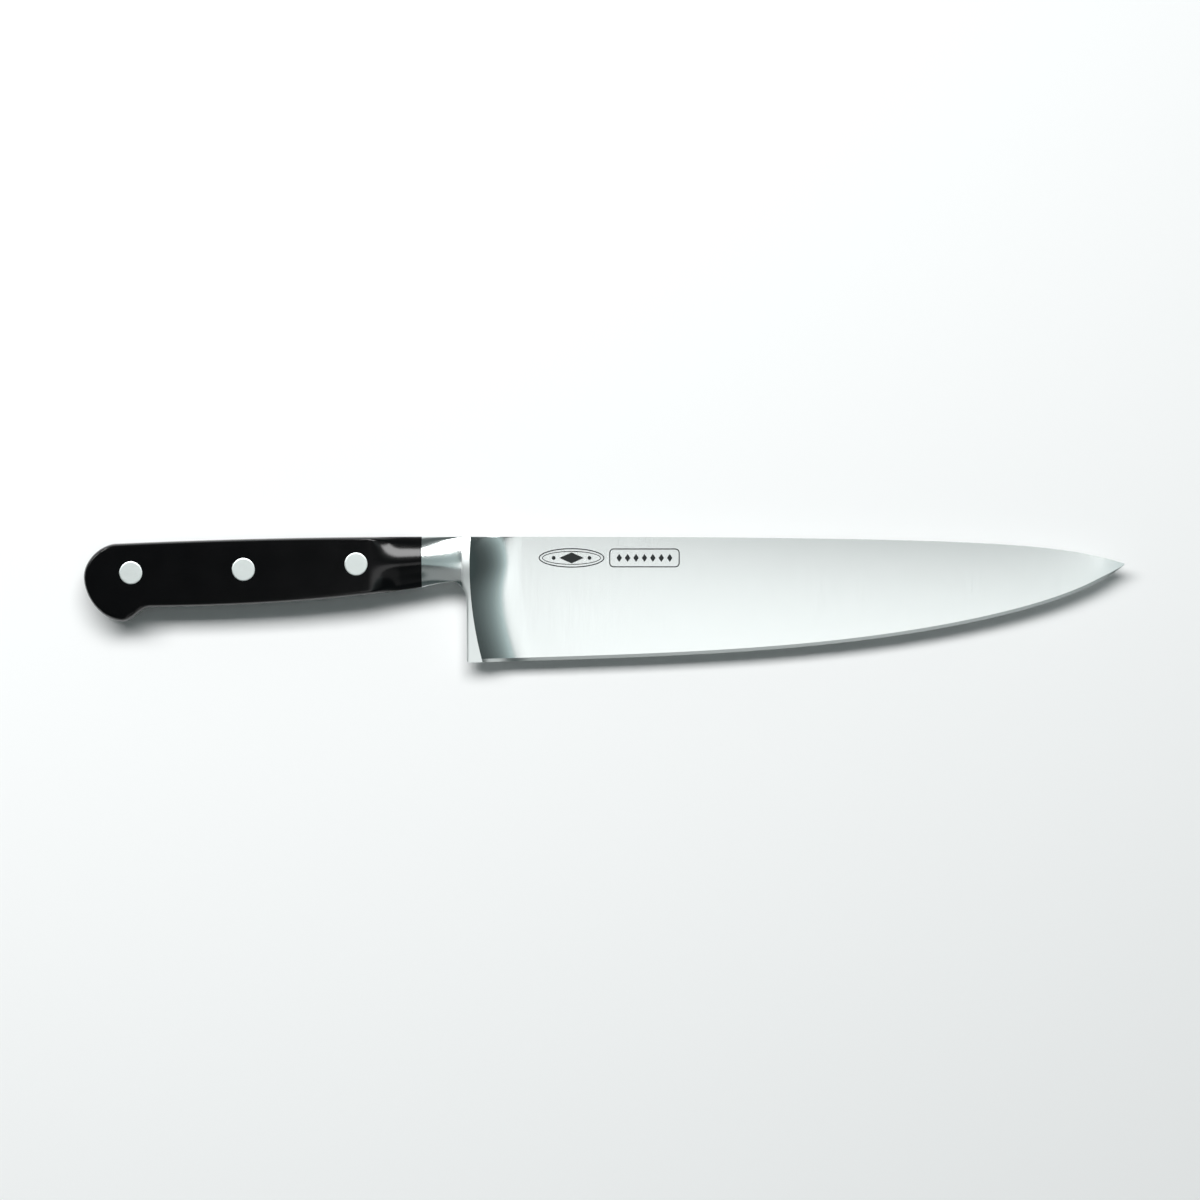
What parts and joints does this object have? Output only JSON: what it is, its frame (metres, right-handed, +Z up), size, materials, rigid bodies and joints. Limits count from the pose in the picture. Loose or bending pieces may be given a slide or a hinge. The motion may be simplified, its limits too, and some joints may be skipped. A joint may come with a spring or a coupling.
{
  "type": "chef knife",
  "caption": "Forged full-tang chef's knife with a curved blade, a full bolster and heel guard, and black riveted handle scales with a hooked butt.",
  "frame": {"origin": "under the middle of the whole knife as it lies on its left side, on the plane of the left scale's flat", "axes": "+X along the knife to the point, +Y from the edge to the spine, +Z up through the thickness, out of the right scale's flat"},
  "size_m": [0.3952, 0.0478, 0.017],
  "materials": {
    "blade_steel": "fine-ground and polished stainless steel, satin on the bolster",
    "handle_plastic": "polished black acetal",
    "rivet_metal": "satin stainless steel, ground flush"
  },
  "bodies": {
    "root": {"blade": "blade_steel", "left_scale": "handle_plastic", "right_scale": "handle_plastic", "rivet_post_front": "rivet_metal", "rivet_post_middle": "rivet_metal", "rivet_post_rear": "rivet_metal", "rivet_sleeve_front": "rivet_metal", "rivet_sleeve_middle": "rivet_metal", "rivet_sleeve_rear": "rivet_metal"}
  },
  "joints": []
}
